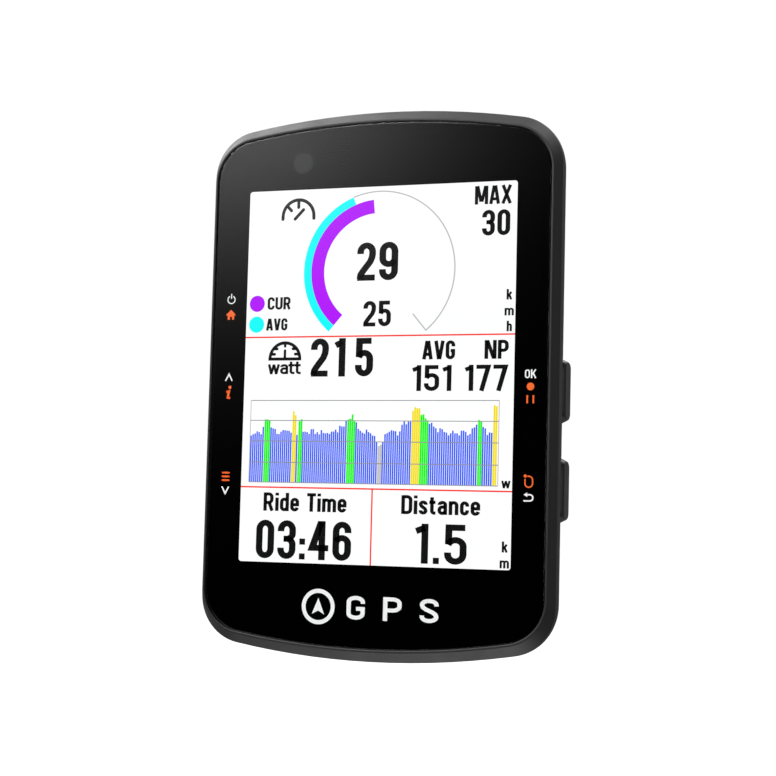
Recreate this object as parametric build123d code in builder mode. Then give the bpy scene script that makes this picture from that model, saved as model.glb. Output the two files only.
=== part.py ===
from build123d import *

import os
from math import radians, tan

# A GPS cycling computer: glass front, bevelled rim, curved rear shell, five side keys,
# and a quarter-turn mount on the back.
# The unit stands upright with its screen facing -Y, its top towards +Z and its right side towards +X.
# The origin is the centre of the mount's end face, so y = -h for a height h measured forwards from that face.

os.makedirs("parts", exist_ok=True)

# ---- Outlines: half width, half height and corner radius of each closed outline ----
END_ARC_R = 126.5
BODY = (28.05, 41.9, 7.3)
LIP_OUTER = (27.25, 40.33, 6.9)
LIP_INNER = (26.9, 39.97, 6.55)
GLASS = (26.8, 39.87, 6.45)
MASK = (26.7, 39.77, 6.35)
SKIRT_OUTER = (26.15, 40.0, 5.8)
SKIRT_INNER = (25.15, 39.0, 4.8)
TRAY = (23.6, 38.2, 4.5)

# ---- Heights forwards of the mount's end face ----
FRONT_H = 19.5
GLASS_H = (18.9, 19.4)
MASK_H = (18.77, 18.87)
ADHESIVE_H = (18.66, 18.76)
LEDGE_H = 18.65
PARTING_H = 17.6
SKIRT_H = 16.2
LCD_H = (17.15, 18.7)
BACKLIGHT_H = (15.3, 17.1)
TRAY_H = (14.3, 15.1)
BOARD_H = (11.9, 12.9)
BATTERY_H = (7.3, 11.6)
FLOOR_H = 6.5
BACK_H = 4.9
SEAT_H = 3.7

# ---- Display ----
SCREEN_Z = 1.33
SCREEN_W = 43.2
SCREEN_L = 57.6
SCREEN_CORNER_R = 0.45
LCD_HALF_W = 23.2
LCD_Z = (-32.0, 31.6)
LCD_STEP_Z = -29.4
LCD_STEP_H = 17.9
SENSOR_AT = (-12.76, 34.28)
SENSOR_WINDOW_R = 1.53

# ---- Rear shell: pairs of height and how far the section is set in from the body outline ----
SHELL_H = 17.48
SHELL_SECTIONS = ((SHELL_H, 0.0), (15.2, 0.06), (11.2, 1.0), (7.2, 2.8), (5.4, 4.5), (4.9, 6.1))
WALL = 1.6
EDGE_BREAK = 0.12

# ---- Quarter-turn mount ----
INSERT_FLANGE_R = 16.0
PAD_R = 17.5
CORE_R = 12.6
TAB_R = 15.2
TAB_T = 1.7
TAB_ANGLE = 60
DISH_R = 10.3
DISH_DEPTH = 1.2
INSERT_SCREW_R = 7.0
INSERT_SCREW_TOP = 7.1

# ---- Side keys: centre heights along Z, and the stack along X from the middle outwards ----
KEY_Z = {"power": 12.0, "up": -0.4, "down": -15.6, "ok": -0.75, "lap": -15.6}
LEFT_KEYS = ("power", "up", "down")
RIGHT_KEYS = ("ok", "lap")
KEY_H = 12.4
KEY_LENGTH = 9.9
KEY_DEPTH = 4.9
KEY_TOP_X = 28.3
KEY_SHOULDER_X = 26.95
KEY_TAPER = 27
KEY_ROUND = 0.45
KEY_GAP = 0.2
FLANGE_MARGIN = (0.65, 0.45)
BRACKET_X = (21.4, 22.0)
KEY_BOARD_X = (22.0, 22.4)
SWITCH_X = (22.4, 23.5)
PLUNGER_X = (23.25, 23.9)
STEM_X = (23.95, 24.3)
FLANGE_X = (24.3, 24.85)
SEAL_X = (24.9, 25.2)
WALL_PAD_X = 25.2

# ---- Charging port and its cover ----
PORT_H = 12.4
PORT_FLOOR_Z = -38.6
PORT_BLOCK_TOP_Z = -37.2
RECEPTACLE_Z = (-38.1, -30.6)
COVER_HALF_X = 6.7
COVER_FRONT_H = 15.0
COVER_GAP = 0.2
HINGE_H = 9.3
HINGE_Z = -38.9
BEAD_R = 0.5
KNUCKLE_R = 0.85
KNUCKLE_GAP = 0.4
HINGE_RELIEF = 1.7

# ---- Fixings ----
CASE_SCREWS = ((-17.5, 30.0), (17.5, 30.0), (-17.5, -31.0), (17.5, -31.0))
FRAME_SCREWS = ((-18.5, 35.6), (18.5, 35.6), (-18.5, -35.6), (18.5, -35.6))
BOARD_SCREWS = ((-19.0, 20.0), (19.0, 20.0), (-19.0, -22.0), (19.0, -22.0))
LANYARD_AT = (-8.5, -33.0)
VENT_AT = (8.5, -31.0)


# ---- Helpers ----
def middle(span):
    """The middle of a (low, high) pair."""
    return (span[0] + span[1]) / 2


def length(span):
    """The length of a (low, high) pair."""
    return span[1] - span[0]


def block(x, h, z, mode=Mode.ADD):
    """Adds a box between low and high limits along X, height and Z to the part being built."""
    with Locations((middle(x), -middle(h), middle(z))):
        Box(length(x), length(h), length(z), mode=mode)


def posts(places, radius, h, mode=Mode.ADD):
    """Adds a cylinder along Y at each (x, z) place, between two heights."""
    with Locations(*[(x, -middle(h), z) for x, z in places]):
        Cylinder(radius, length(h), rotation=(90, 0, 0), mode=mode)


def rod_along_x(radius, x, h, z, mode=Mode.ADD):
    """Adds a cylinder along X."""
    with Locations((middle(x), -h, z)):
        Cylinder(radius, length(x), rotation=(0, 90, 0), mode=mode)


def outline(half_width, half_height, corner_r):
    """A closed outline with straight sides, bowed ends and rounded corners."""
    side = half_height - END_ARC_R + (END_ARC_R**2 - half_width**2) ** 0.5
    with BuildSketch() as shape:
        with BuildLine():
            Line((half_width, -side), (half_width, side))
            ThreePointArc((half_width, side), (0, half_height), (-half_width, side))
            Line((-half_width, side), (-half_width, -side))
            ThreePointArc((-half_width, -side), (0, -half_height), (half_width, -side))
        make_face()
        fillet(shape.vertices(), corner_r)
    return shape.sketch


def inset(limits, distance, corner_r):
    """The limits of an outline set in by a distance."""
    return limits[0] - distance, limits[1] - distance, corner_r


def plate(limits, h, mode=Mode.ADD):
    """Adds a flat plate with a case outline between two heights."""
    with BuildSketch(Plane.XZ.offset(h[0])) as face:
        add(outline(*limits))
    extrude(face.sketch, amount=length(h), mode=mode)


def case_loft(sections, ruled=False):
    """Adds a body through case outlines, given as (height, outline limits)."""
    faces = []
    for height, limits in sections:
        with BuildSketch(Plane.XZ.offset(height)) as face:
            add(outline(*limits))
        faces.append(face.sketch.face())
    loft(faces, ruled=ruled)


def save(piece, name):
    """Labels a finished piece and writes its STEP file."""
    piece.part.label = name
    export_step(piece.part, f"parts/{name}.step")


# ---- Front: glass, print and rim ----
def make_glass():
    edge_round = 0.15
    with BuildPart() as cover_glass:
        plate(GLASS, GLASS_H)
        fillet(cover_glass.faces().sort_by(Axis.Y)[0].edges(), edge_round)
    save(cover_glass, "cover_glass")

    with BuildPart() as ink_mask:
        plate(MASK, MASK_H)
        with BuildSketch(Plane.XZ.offset(MASK_H[0])):
            with Locations((0, SCREEN_Z)):
                RectangleRounded(SCREEN_W, SCREEN_L, SCREEN_CORNER_R)
        extrude(amount=length(MASK_H), mode=Mode.SUBTRACT)
        posts([SENSOR_AT], SENSOR_WINDOW_R, (MASK_H[0] - 1, MASK_H[1] + 1), mode=Mode.SUBTRACT)
    save(ink_mask, "ink_mask")


DISPLAY_OPENING_X = 23.5
DISPLAY_OPENING_Z = (-32.3, 31.9)


def make_adhesive():
    with BuildPart() as glass_adhesive:
        plate(inset(MASK, 0.1, MASK[2] - 0.1), ADHESIVE_H)
        block(
            (-DISPLAY_OPENING_X - 0.3, DISPLAY_OPENING_X + 0.3),
            (ADHESIVE_H[0] - 1, ADHESIVE_H[1] + 1),
            (DISPLAY_OPENING_Z[0] - 2.0, DISPLAY_OPENING_Z[1] + 0.3),
            mode=Mode.SUBTRACT,
        )
        posts([SENSOR_AT], 1.7, (ADHESIVE_H[0] - 1, ADHESIVE_H[1] + 1), mode=Mode.SUBTRACT)
    save(glass_adhesive, "glass_adhesive")


SEAL_GROOVE_H = (16.75, 17.3)
SEAL_GROOVE_DEPTH = 0.5
FRAME_BOSS_R = 1.5
FRAME_PILOT_R = 0.52
FLEX_NOTCH_X = 10.0


def make_bezel():
    lip_round = 0.14
    with BuildPart() as front_bezel:
        broken_edge = (PARTING_H, inset(BODY, EDGE_BREAK, BODY[2]))
        case_loft((broken_edge, (PARTING_H + EDGE_BREAK, BODY), (FRONT_H, LIP_OUTER)), ruled=True)
        plate(SKIRT_OUTER, (SKIRT_H, PARTING_H + 0.1))
        plate(SKIRT_INNER, (SKIRT_H, PARTING_H), mode=Mode.SUBTRACT)
        plate(LIP_INNER, (LEDGE_H, FRONT_H), mode=Mode.SUBTRACT)
        fillet(front_bezel.faces().sort_by(Axis.Y)[0].edges(), lip_round)
        block(
            (-DISPLAY_OPENING_X, DISPLAY_OPENING_X),
            (PARTING_H - 1, FRONT_H),
            DISPLAY_OPENING_Z,
            mode=Mode.SUBTRACT,
        )
        block(
            (-FLEX_NOTCH_X, FLEX_NOTCH_X),
            (PARTING_H - 1, FRONT_H),
            (DISPLAY_OPENING_Z[0] - 1.8, DISPLAY_OPENING_Z[0] + 1),
            mode=Mode.SUBTRACT,
        )
        posts([SENSOR_AT], 1.7, (PARTING_H - 1, FRONT_H), mode=Mode.SUBTRACT)
        with BuildSketch(Plane.XZ.offset(SEAL_GROOVE_H[0])):
            add(outline(*inset(SKIRT_OUTER, -1.0, SKIRT_OUTER[2] + 1.0)))
            groove_r = SKIRT_OUTER[2] - SEAL_GROOVE_DEPTH
            add(outline(*inset(SKIRT_OUTER, SEAL_GROOVE_DEPTH, groove_r)), mode=Mode.SUBTRACT)
        extrude(amount=length(SEAL_GROOVE_H), mode=Mode.SUBTRACT)
        posts(FRAME_SCREWS, FRAME_BOSS_R, (TRAY_H[1] + 0.05, PARTING_H + 0.1))
        posts(FRAME_SCREWS, FRAME_PILOT_R, (TRAY_H[1] - 1, PARTING_H), mode=Mode.SUBTRACT)
    save(front_bezel, "front_bezel")

    with BuildPart() as case_seal:
        seal_h = (SEAL_GROOVE_H[0] + 0.03, SEAL_GROOVE_H[1] - 0.03)
        seal_inset = WALL + 0.18
        plate(inset(BODY, seal_inset, BODY[2] - seal_inset), seal_h)
        seal_depth = SEAL_GROOVE_DEPTH - 0.03
        plate(inset(SKIRT_OUTER, seal_depth, SKIRT_OUTER[2] - seal_depth), seal_h, mode=Mode.SUBTRACT)
    save(case_seal, "case_seal")


# ---- Display stack ----
def ribbon(route, half_width, centre_x, thickness, bend_r):
    """Adds a flat flex of even thickness that follows a route of (height, z) points."""
    with BuildSketch(Plane.YZ.offset(centre_x - half_width)) as face:
        with BuildLine() as line:
            FilletPolyline(*[(-h, z) for h, z in route], radius=bend_r)
        trace(line.edges(), line_width=thickness)
    extrude(face.sketch, amount=2 * half_width)


def make_display():
    driver_chip_z = (-31.3, -30.4)
    with BuildPart() as lcd_panel:
        block((-LCD_HALF_W, LCD_HALF_W), (LCD_H[0], LCD_STEP_H), LCD_Z)
        block((-LCD_HALF_W, LCD_HALF_W), (LCD_STEP_H, LCD_H[1]), (LCD_STEP_Z, LCD_Z[1]))
        block((-7, 7), (LCD_STEP_H, LCD_STEP_H + 0.4), (driver_chip_z[0] + 0.9, driver_chip_z[1] + 0.9))
    save(lcd_panel, "lcd_panel")

    with BuildPart() as backlight_unit:
        block((-LCD_HALF_W, LCD_HALF_W), BACKLIGHT_H, LCD_Z)
        fillet(backlight_unit.edges().filter_by(Axis.Y), 0.8)
    save(backlight_unit, "backlight_unit")

    with BuildPart() as display_flex:
        route = ((17.98, -30.9), (17.98, -33.4), (14.12, -33.4), (14.12, -27.2))
        ribbon(route, 9.0, 0, 0.14, 0.7)
    save(display_flex, "display_flex")

    with BuildPart() as light_sensor:
        x, z = SENSOR_AT
        block((x - 1, x + 1), (17.75, 18.35), (z - 1, z + 1))
        with BuildSketch(Plane.XZ.offset(18.35)):
            with Locations(SENSOR_AT):
                Circle(0.6)
        extrude(amount=-0.15, mode=Mode.SUBTRACT)
    save(light_sensor, "light_sensor")

    with BuildPart() as sensor_flex:
        route = ((17.52, 33.0), (17.52, 37.3), (13.0, 37.3), (13.0, 34.0))
        ribbon(route, 1.6, SENSOR_AT[0], 0.14, 0.6)
    save(sensor_flex, "sensor_flex")


CASE_POST_R = 2.3
CASE_POST_END = 9.1
STANDOFF_R = 1.5
FRAME_CLEAR_R = 0.85


def make_tray():
    with BuildPart() as display_tray:
        plate(TRAY, TRAY_H)
        posts(CASE_SCREWS, CASE_POST_R, (CASE_POST_END, TRAY_H[0] + 0.1))
        posts(BOARD_SCREWS, STANDOFF_R, (BOARD_H[1], TRAY_H[0] + 0.1))
        posts(CASE_SCREWS, 1.0, (CASE_POST_END - 1, TRAY_H[0]), mode=Mode.SUBTRACT)
        posts(BOARD_SCREWS, 0.62, (BOARD_H[1] - 1, TRAY_H[0]), mode=Mode.SUBTRACT)
        posts(FRAME_SCREWS, FRAME_CLEAR_R, (TRAY_H[0] - 1, TRAY_H[1] + 1), mode=Mode.SUBTRACT)
        through = (TRAY_H[0] - 1, TRAY_H[1] + 1)
        block((-FLEX_NOTCH_X, FLEX_NOTCH_X), through, (-34.2, -32.7), mode=Mode.SUBTRACT)
        block((SENSOR_AT[0] - 2.2, SENSOR_AT[0] + 2.2), through, (36.6, 40.0), mode=Mode.SUBTRACT)
        block((-9.6, 9.6), through, (-40.0, PORT_BLOCK_TOP_Z + 0.3), mode=Mode.SUBTRACT)
        with Locations(*[(x, -TRAY_H[1], z) for x in (-11.5, 11.5) for z in (-15, 0, 15)]):
            Box(14, 0.5, 10, mode=Mode.SUBTRACT)
    save(display_tray, "display_tray")


# ---- Electronics ----
BOARD_HALF_X = 21.0
BOARD_Z = (-36.4, 36.4)
RECEPTACLE_HALF_X = 4.47
RECEPTACLE_HALF_H = 1.6


def make_board():
    with BuildPart() as main_board:
        block((-BOARD_HALF_X, BOARD_HALF_X), BOARD_H, BOARD_Z)
        fillet(main_board.edges().filter_by(Axis.Y), 3.0)
        through = (BOARD_H[0] - 1, BOARD_H[1] + 1)
        port_half = RECEPTACLE_HALF_X + 0.1
        block((-port_half, port_half), through, (-38, RECEPTACLE_Z[1] + 0.1), Mode.SUBTRACT)
        posts(CASE_SCREWS, CASE_POST_R + 0.3, through, mode=Mode.SUBTRACT)
        posts(BOARD_SCREWS, 0.75, through, mode=Mode.SUBTRACT)
    save(main_board, "main_board")


def make_chip(name, at, size, height, side):
    """One component on the board: side is +1 for the face towards the screen and -1 for the other."""
    base = BOARD_H[1] if side > 0 else BOARD_H[0]
    span = sorted((base, base + side * height))
    with BuildPart() as chip:
        block((at[0] - size[0] / 2, at[0] + size[0] / 2), span, (at[1] - size[1] / 2, at[1] + size[1] / 2))
        upper = chip.faces().sort_by(Axis.Y)[0 if side > 0 else -1]
        chamfer(upper.edges(), 0.1)
    save(chip, name)


def make_components():
    make_chip("processor", (-8.0, 8.0), (12, 12), 0.9, 1)
    make_chip("memory_chip", (8.5, 10.0), (9, 11), 0.8, 1)
    make_chip("power_chip", (-11.0, -13.0), (5, 5), 0.8, 1)
    make_chip("radio_chip", (10.0, -12.0), (6, 6), 0.6, 1)
    make_chip("motion_sensor", (1.0, 22.0), (3, 3), 0.9, 1)
    make_chip("display_connector", (0.0, -28.2), (16, 2.8), 1.1, 1)
    make_chip("gps_antenna", (0.0, 27.0), (18, 18), 4.0, -1)
    make_chip("buzzer", (10.6, -29.2), (8, 8), 2.0, -1)
    make_chip("pressure_sensor", (-9.5, -28.5), (2.6, 2.2), 0.95, -1)
    make_chip("battery_connector", (-14.0, 20.2), (5.6, 2.8), 1.2, -1)

    with BuildPart() as shield_can:
        skin = 0.2
        x, h, z = (2.0, 18.0), (BOARD_H[1], BOARD_H[1] + 1.15), (-19.0, -5.0)
        block(x, h, z)
        block(
            (x[0] + skin, x[1] - skin), (h[0], h[1] - skin), (z[0] + skin, z[1] - skin), mode=Mode.SUBTRACT
        )
    save(shield_can, "shield_can")


def make_port():
    shell_t = 0.25
    with BuildPart() as usb_receptacle:
        with BuildSketch(Plane.XY.offset(RECEPTACLE_Z[0])):
            with Locations((0, -PORT_H)):
                RectangleRounded(2 * RECEPTACLE_HALF_X, 2 * RECEPTACLE_HALF_H, 1.45)
        extrude(amount=length(RECEPTACLE_Z))
        with BuildSketch(Plane.XY.offset(RECEPTACLE_Z[0])):
            with Locations((0, -PORT_H)):
                RectangleRounded(2 * (RECEPTACLE_HALF_X - shell_t), 2 * (RECEPTACLE_HALF_H - shell_t), 1.2)
        extrude(amount=length(RECEPTACLE_Z) - 0.9, mode=Mode.SUBTRACT)
    save(usb_receptacle, "usb_receptacle")

    with BuildPart() as usb_tongue:
        block((-3.35, 3.35), (PORT_H - 0.35, PORT_H + 0.35), (RECEPTACLE_Z[0] + 0.7, RECEPTACLE_Z[1] - 0.9))
        fillet(usb_tongue.faces().sort_by(Axis.Z)[0].edges(), 0.2)
    save(usb_tongue, "usb_tongue")


def make_battery():
    with BuildPart() as battery_cell:
        block((-17, 17), BATTERY_H, (-24, 16))
        fillet(battery_cell.edges().filter_by(Axis.Z), 1.6)
    save(battery_cell, "battery_cell")

    with BuildPart() as battery_tape:
        block((-14, 14), (BATTERY_H[1], BOARD_H[0]), (-22, 14))
    save(battery_tape, "battery_tape")

    with BuildPart() as battery_flex:
        route = ((9.4, 16.0), (9.4, 17.6), (10.6, 17.6), (10.6, 21.4))
        ribbon(route, 2.2, -14.0, 0.14, 0.4)
    save(battery_flex, "battery_flex")


# ---- Side keys, one function for each kind of piece; side is -1 on the left and +1 on the right ----
def along_x(span, side):
    """Limits along X of a piece on one side, from its limits on the right."""
    return sorted((span[0] * side, span[1] * side))


def key_plane(x, side):
    """A plane facing outwards at a side of the case, with its own X along the key's length."""
    return Plane(origin=(x * side, -KEY_H, 0), x_dir=(0, 0, 1), z_dir=(side, 0, 0))


def key_profile(x, side, z, margin, corner_r):
    """A rounded rectangle with the key's size and a margin along its length and depth, centred on a key."""
    with BuildSketch(key_plane(x, side)) as profile:
        with Locations((z, 0)):
            RectangleRounded(KEY_LENGTH + 2 * margin[0], KEY_DEPTH + 2 * margin[1], corner_r)
    return profile.sketch


def key_disc(x, side, z, radius, mode=Mode.ADD):
    """Adds a round rod along X between two limits, centred on a key."""
    with Locations((middle(x) * side, -KEY_H, z)):
        Cylinder(radius, length(x), rotation=(0, 90, 0), mode=mode)


def make_key(name, side):
    z = KEY_Z[name]
    with BuildPart() as button:
        extrude(key_profile(FLANGE_X[1], side, z, (0, 0), 1.7), amount=KEY_SHOULDER_X - FLANGE_X[1])
        crown_base = key_profile(KEY_SHOULDER_X, side, z, (0, 0), 1.7)
        extrude(crown_base, amount=KEY_TOP_X - KEY_SHOULDER_X, taper=KEY_TAPER)
        crown = button.faces().sort_by(Axis.X)[-1 if side > 0 else 0]
        fillet(crown.edges(), KEY_ROUND)
        extrude(key_profile(FLANGE_X[0], side, z, FLANGE_MARGIN, 2.2), amount=length(FLANGE_X))
        key_disc((STEM_X[0], STEM_X[1] + 0.1), side, z, 1.2)
    save(button, f"button_{name}")

    with BuildPart() as plunger:
        key_disc(PLUNGER_X, side, z, 0.9)
    save(plunger, f"plunger_{name}")

    with BuildPart() as switch:
        block(along_x(SWITCH_X, side), (KEY_H - 1.7, KEY_H + 1.7), (z - 2.1, z + 2.1))
        key_disc((22.8, SWITCH_X[1] + 0.1), side, z, 1.0, mode=Mode.SUBTRACT)
    save(switch, f"switch_{name}")


def make_key_mounting(side, keys, side_name):
    low = min(KEY_Z[key] for key in keys) - 3.2
    high = max(KEY_Z[key] for key in keys) + 3.2
    with BuildPart() as key_board:
        block(along_x(KEY_BOARD_X, side), (KEY_H - 1.9, KEY_H + 1.8), (low, high))
    save(key_board, f"key_board_{side_name}")

    with BuildPart() as key_bracket:
        block(along_x(BRACKET_X, side), (KEY_H - 2.1, KEY_H + 1.85), (low - 0.6, high + 0.6))
        hook_x = along_x((BRACKET_X[0], KEY_BOARD_X[1] + 0.3), side)
        for hook_z in ((low - 0.6, low - 0.05), (high + 0.05, high + 0.6)):
            block(hook_x, (KEY_H - 2.1, KEY_H + 1.85), hook_z)
    save(key_bracket, f"key_bracket_{side_name}")


def make_key_seals():
    with BuildPart() as key_seals:
        for side, keys in ((-1, LEFT_KEYS), (1, RIGHT_KEYS)):
            for key in keys:
                extrude(key_profile(SEAL_X[0], side, KEY_Z[key], FLANGE_MARGIN, 2.2), amount=length(SEAL_X))
                hole = key_profile(SEAL_X[0], side, KEY_Z[key], (KEY_GAP, KEY_GAP), 1.9)
                extrude(hole, amount=length(SEAL_X), mode=Mode.SUBTRACT)
    save(key_seals, "key_seals")


def make_keys():
    for side, keys, side_name in ((-1, LEFT_KEYS, "left"), (1, RIGHT_KEYS, "right")):
        make_key_mounting(side, keys, side_name)
        for key in keys:
            make_key(key, side)
    make_key_seals()


# ---- Rear shell ----
def shell_sections(wall, floor_h, corner_r):
    """The shell's sections set in by a wall, with their heights drawn in to end at a floor."""
    scale = (SHELL_H - floor_h) / (SHELL_H - BACK_H)
    return [
        (SHELL_H - (SHELL_H - h) * scale, inset(BODY, distance + wall, corner_r))
        for h, distance in SHELL_SECTIONS
    ]


def make_outer_body():
    """The whole outside of the rear shell as one solid."""
    with BuildPart() as outer:
        sections = shell_sections(0, BACK_H, BODY[2])
        case_loft(sections)
        case_loft(((PARTING_H, inset(BODY, EDGE_BREAK, BODY[2])), sections[0]), ruled=True)
    return outer.part


def make_cavity():
    """The space inside the rear shell, less the bosses and thickened walls that stand in it."""
    boss_h = (FLOOR_H - 1, CASE_POST_END - 0.1)
    with BuildPart() as cavity:
        sections = shell_sections(WALL, FLOOR_H, BODY[2] - WALL)
        case_loft(sections)
        case_loft(((PARTING_H + 0.5, sections[0][1]), sections[0]), ruled=True)
        posts(CASE_SCREWS, 3.4, boss_h, mode=Mode.SUBTRACT)
        with BuildSketch(Plane.XZ.offset(FLOOR_H - 1)):
            with PolarLocations(INSERT_SCREW_R, 4, start_angle=45):
                Circle(2.0)
        extrude(amount=INSERT_SCREW_TOP - FLOOR_H + 1, mode=Mode.SUBTRACT)
        for side, keys in ((-1, LEFT_KEYS), (1, RIGHT_KEYS)):
            low = min(KEY_Z[key] for key in keys) - 6.6
            high = max(KEY_Z[key] for key in keys) + 6.6
            pad_h = (KEY_H - 3.6, KEY_H + 3.4)
            block(along_x((WALL_PAD_X, 30), side), pad_h, (low, high), mode=Mode.SUBTRACT)
            pocket_h = (KEY_H - 3.05, KEY_H + 3.05)
            block(along_x((KEY_BOARD_X[0], WALL_PAD_X), side), pocket_h, (low + 0.7, high - 0.7))
        block((-9.2, 9.2), (HINGE_H - 2.4, COVER_FRONT_H + 1.0), (-45, PORT_BLOCK_TOP_Z), mode=Mode.SUBTRACT)
        x, z = LANYARD_AT
        block((x - 4.4, x + 4.4), (FLOOR_H - 1, 8.4), (z - 3.5, z + 3.5), mode=Mode.SUBTRACT)
    return cavity.part


LANYARD_POCKET = (6.4, 2.4, 4.4)
LANYARD_BAR_R = 0.65
LANYARD_BAR_H = 5.85


def cut_port_opening():
    """Cuts the cover's recess, its hinge groove and the port's opening."""
    half = COVER_HALF_X + COVER_GAP + 0.05
    groove_r = KNUCKLE_R + KNUCKLE_GAP
    block((-half, half), (HINGE_H, COVER_FRONT_H + COVER_GAP), (-45, PORT_FLOOR_Z), mode=Mode.SUBTRACT)
    block((-half, half), (HINGE_H - HINGE_RELIEF, HINGE_H), (-45, HINGE_Z), mode=Mode.SUBTRACT)
    rod_along_x(groove_r, (-half, half), HINGE_H, HINGE_Z, mode=Mode.SUBTRACT)
    rod_along_x(BEAD_R + 0.05, (-8.05, 8.05), HINGE_H, HINGE_Z, mode=Mode.SUBTRACT)
    with BuildSketch(Plane.XY.offset(PORT_FLOOR_Z)) as opening:
        with Locations((0, -PORT_H)):
            RectangleRounded(9.3, 3.6, 1.6)
    extrude(opening.sketch, amount=PORT_BLOCK_TOP_Z - PORT_FLOOR_Z + 0.5, mode=Mode.SUBTRACT)
    with Locations((0, -COVER_FRONT_H - 0.2, -43.6)):
        Sphere(2.6, mode=Mode.SUBTRACT)


def make_shell(outer, cavity):
    with BuildPart() as rear_shell:
        add(outer)
        add(cavity, mode=Mode.SUBTRACT)
        with BuildSketch(Plane.XZ.offset(SEAT_H)):
            Circle(PAD_R)
        extrude(amount=FLOOR_H - SEAT_H)
        pad_rim = rear_shell.faces().sort_by(Axis.Y)[-1].edges()
        chamfer(pad_rim, 0.4)
        with BuildSketch(Plane.XZ.offset(SEAT_H)):
            Circle(INSERT_FLANGE_R + 0.05)
        extrude(amount=BACK_H - SEAT_H, mode=Mode.SUBTRACT)
        with BuildSketch(Plane.XZ.offset(BACK_H)):
            with PolarLocations(INSERT_SCREW_R, 4, start_angle=45):
                Circle(0.8)
        extrude(amount=INSERT_SCREW_TOP - BACK_H - 0.2, mode=Mode.SUBTRACT)
        posts(CASE_SCREWS, 2.2, (BACK_H - 2, 7.2), mode=Mode.SUBTRACT)
        posts(CASE_SCREWS, 1.15, (7.0, CASE_POST_END), mode=Mode.SUBTRACT)
        for side, keys in ((-1, LEFT_KEYS), (1, RIGHT_KEYS)):
            for key in keys:
                slot = key_profile(WALL_PAD_X - 1, side, KEY_Z[key], (KEY_GAP, KEY_GAP), 1.9)
                extrude(slot, amount=6, mode=Mode.SUBTRACT)
        cut_port_opening()
        x, z = LANYARD_AT
        wide, deep, tall = LANYARD_POCKET
        pocket_z = (z - tall / 2, z + tall / 2)
        block((x - wide / 2, x + wide / 2), (0, BACK_H + deep), pocket_z, mode=Mode.SUBTRACT)
        with Locations((x, -LANYARD_BAR_H, z)):
            Cylinder(LANYARD_BAR_R + 0.02, tall + 1.6, mode=Mode.SUBTRACT)
        posts([VENT_AT], 2.3, (BACK_H - 1, BACK_H + 0.35), mode=Mode.SUBTRACT)
        vent_holes = [(VENT_AT[0] + dx, VENT_AT[1]) for dx in (-1.1, 0, 1.1)]
        posts(vent_holes, 0.35, (BACK_H, FLOOR_H + 0.5), mode=Mode.SUBTRACT)
    save(rear_shell, "rear_shell")


def make_shell_fittings():
    with BuildPart() as vent_membrane:
        posts([VENT_AT], 2.5, (FLOOR_H + 0.02, FLOOR_H + 0.22))
    save(vent_membrane, "vent_membrane")

    with BuildPart() as lanyard_bar:
        with Locations((LANYARD_AT[0], -LANYARD_BAR_H, LANYARD_AT[1])):
            Cylinder(LANYARD_BAR_R, LANYARD_POCKET[2] + 1.4)
    save(lanyard_bar, "lanyard_bar")


def make_usb_cover(outer):
    knuckle_x = (-COVER_HALF_X, COVER_HALF_X)
    with BuildPart() as usb_cover:
        add(outer)
        block(knuckle_x, (HINGE_H, COVER_FRONT_H), (-45, PORT_FLOOR_Z - 0.1), mode=Mode.INTERSECT)
        rod_along_x(KNUCKLE_R, knuckle_x, HINGE_H, HINGE_Z)
        with BuildSketch(Plane.XY.offset(PORT_FLOOR_Z - 0.2)):
            with Locations((0, -PORT_H)):
                RectangleRounded(8.2, 2.4, 1.1)
        extrude(amount=0.5)
        rod_along_x(BEAD_R, (-7.95, 7.95), HINGE_H, HINGE_Z)
        with Locations((0, -COVER_FRONT_H - 0.2, -43.6)):
            Sphere(2.6, mode=Mode.SUBTRACT)
    save(usb_cover, "usb_cover")


# ---- Quarter-turn mount ----
def make_insert():
    with BuildPart() as mount_insert:
        with BuildSketch(Plane.XZ):
            Circle(CORE_R)
        extrude(amount=SEAT_H + 0.1)
        with BuildSketch(Plane.XZ.offset(SEAT_H)):
            Circle(INSERT_FLANGE_R)
        extrude(amount=BACK_H - SEAT_H)
        with BuildSketch(Plane.XZ):
            Circle(TAB_R)
            reach = 2 * TAB_R
            slope = tan(radians(90 - TAB_ANGLE / 2))
            with PolarLocations(0, 2):
                low, high = (reach, -reach * slope), (reach, reach * slope)
                Polygon((0, 0), low, high, align=None, mode=Mode.SUBTRACT)
        extrude(amount=TAB_T)
        chamfer(mount_insert.faces().sort_by(Axis.Y)[-1].edges(), 0.3)
        with BuildSketch(Plane.XZ):
            Circle(DISH_R)
        extrude(amount=DISH_DEPTH, mode=Mode.SUBTRACT)
        with BuildSketch(Plane.XZ):
            with PolarLocations(INSERT_SCREW_R, 4, start_angle=45):
                Circle(1.1)
        extrude(amount=BACK_H, mode=Mode.SUBTRACT)
        with BuildSketch(Plane.XZ.offset(DISH_DEPTH)):
            with PolarLocations(INSERT_SCREW_R, 4, start_angle=45):
                Circle(1.95)
        extrude(amount=1.1, mode=Mode.SUBTRACT)
        notch_r = 0.9
        for z in (-TAB_R, TAB_R):
            posts([(0, z + (0.35 if z > 0 else -0.35))], notch_r, (-1, TAB_T + 0.2), mode=Mode.SUBTRACT)
    save(mount_insert, "mount_insert")


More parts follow.
